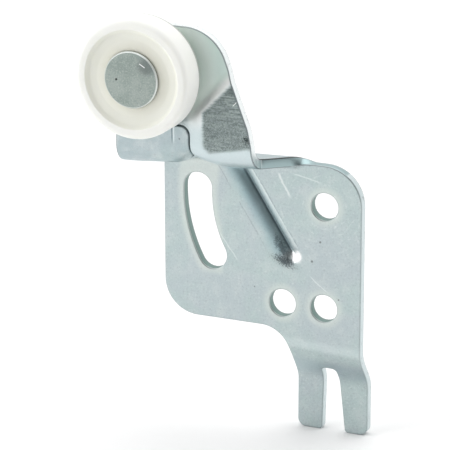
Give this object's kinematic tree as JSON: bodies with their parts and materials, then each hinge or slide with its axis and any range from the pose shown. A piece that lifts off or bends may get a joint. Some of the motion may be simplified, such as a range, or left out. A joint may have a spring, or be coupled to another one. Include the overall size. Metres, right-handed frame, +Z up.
{
  "type": "sliding door roller",
  "caption": "Bent steel hanger plate with adjusting holes, an arc slot and a forked tail, carrying a small plastic wheel on a riveted axle.",
  "frame": {"origin": "a point on the plate's flat front face, which rests against the back of the door, 16 mm left of and 14 mm below the pivot hole", "axes": "-Y points out of the door face towards the door, +Z up the plate towards the wheel, +X to the right as seen from the door side; the axle lies along Y"},
  "size_m": [0.0501, 0.0207, 0.0799],
  "materials": {
    "zinc_steel": "zinc plated",
    "nylon": "moulded, satin",
    "rivet_steel": "zinc plated, dull"
  },
  "bodies": {
    "hanger": {"hanger_plate": "zinc_steel", "axle_rivet": "rivet_steel", "spacer_washer": "zinc_steel"},
    "wheel": {"roller_wheel": "nylon"}
  },
  "joints": [
    {"name": "wheel_spin", "type": "hinge", "parent": "hanger", "child": "wheel", "pos_m": [-0.0156, -0.0117, 0.038], "axis": [0, -1, 0], "continuous": true}
  ]
}
